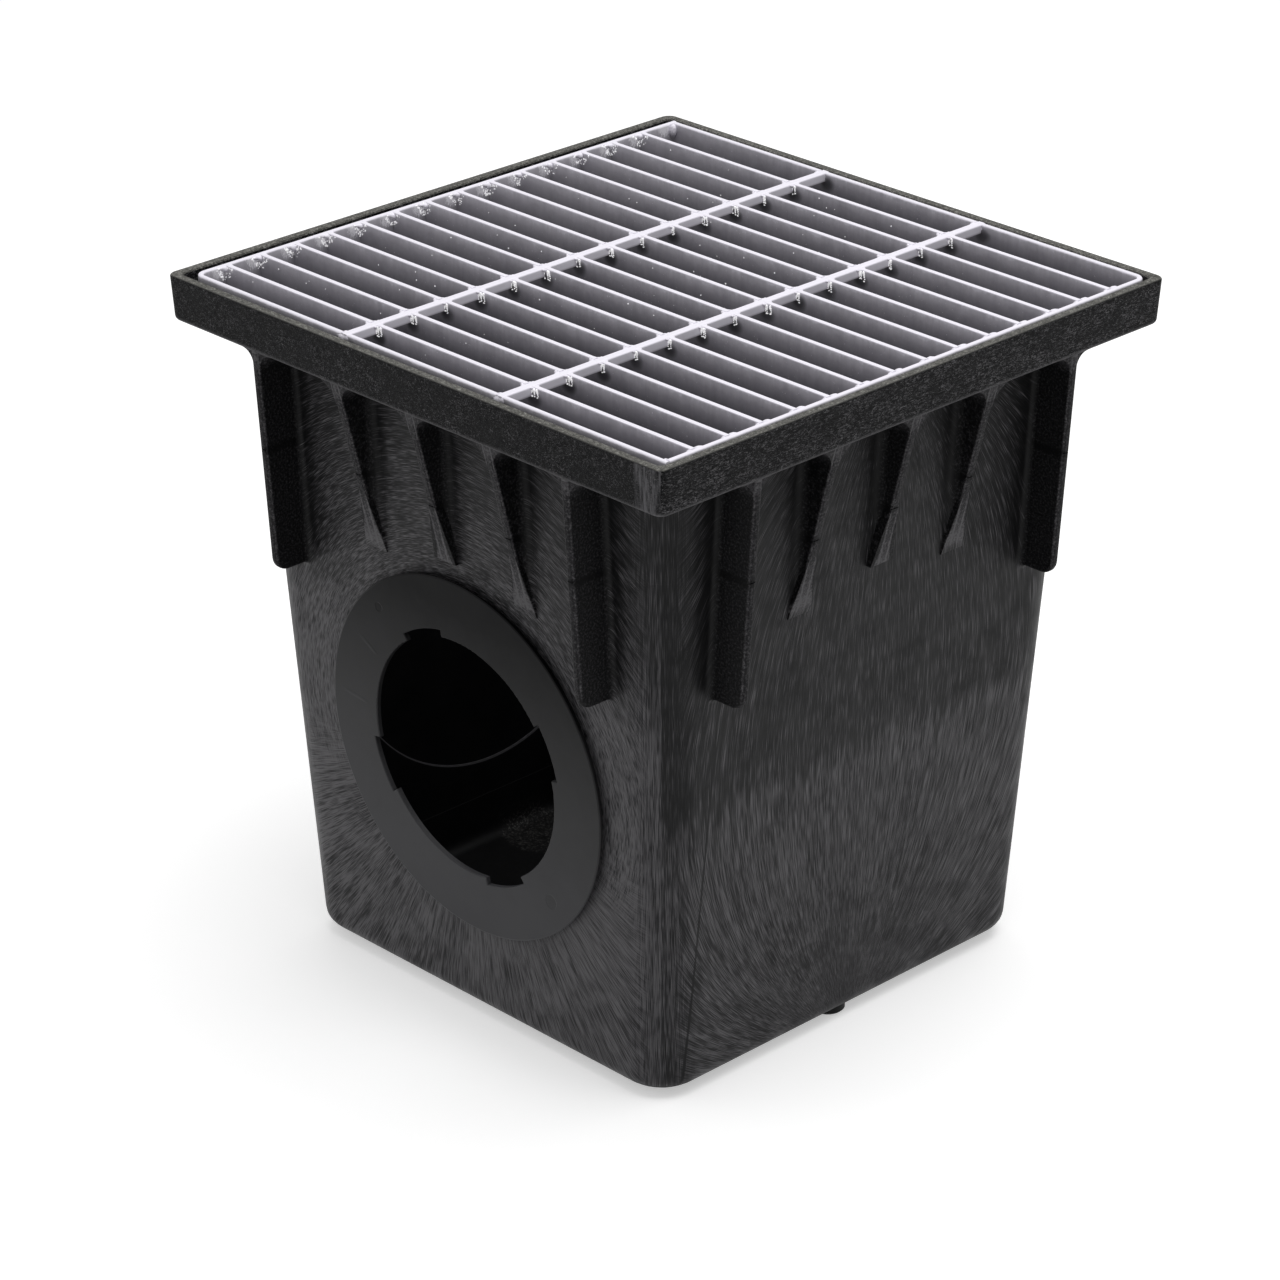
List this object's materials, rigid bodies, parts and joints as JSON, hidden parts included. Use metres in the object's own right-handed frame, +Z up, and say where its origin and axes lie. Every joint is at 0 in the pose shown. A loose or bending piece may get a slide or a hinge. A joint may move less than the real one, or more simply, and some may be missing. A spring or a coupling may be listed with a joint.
{
  "type": "gully basin with bar grate",
  "caption": "Square moulded plastic gully basin with a notched outlet ring in one wall and a welded steel bar grate in its buttressed rim.",
  "frame": {"origin": "under the middle of the basin, level with the lowest point of the stub beneath its floor", "axes": "+Z up, +X towards the wall to the right of the outlet, the outlet's wall faces -Y"},
  "size_m": [0.4772, 0.4772, 0.5009],
  "materials": {
    "basin_plastic": "moulded structural foam, dull with swirls, scuffed",
    "ring_plastic": "smooth moulded, satin",
    "galvanised_steel": "hot-dip galvanised, matt grey with pale tops",
    "weld_metal": "galvanised weld, lumpy"
  },
  "bodies": {
    "root": {"basin_body": "basin_plastic", "outlet_ring": "ring_plastic", "grate_frame_left": "galvanised_steel", "grate_frame_right": "galvanised_steel", "bearing_bar_01": "galvanised_steel", "bearing_bar_02": "galvanised_steel", "bearing_bar_03": "galvanised_steel", "bearing_bar_04": "galvanised_steel", "bearing_bar_05": "galvanised_steel", "bearing_bar_06": "galvanised_steel", "bearing_bar_07": "galvanised_steel", "bearing_bar_08": "galvanised_steel", "bearing_bar_09": "galvanised_steel", "bearing_bar_10": "galvanised_steel", "bearing_bar_11": "galvanised_steel", "bearing_bar_12": "galvanised_steel", "bearing_bar_13": "galvanised_steel", "bearing_bar_14": "galvanised_steel", "cross_rod_left": "galvanised_steel", "cross_rod_right": "galvanised_steel", "weld_beads": "weld_metal"}
  },
  "joints": []
}
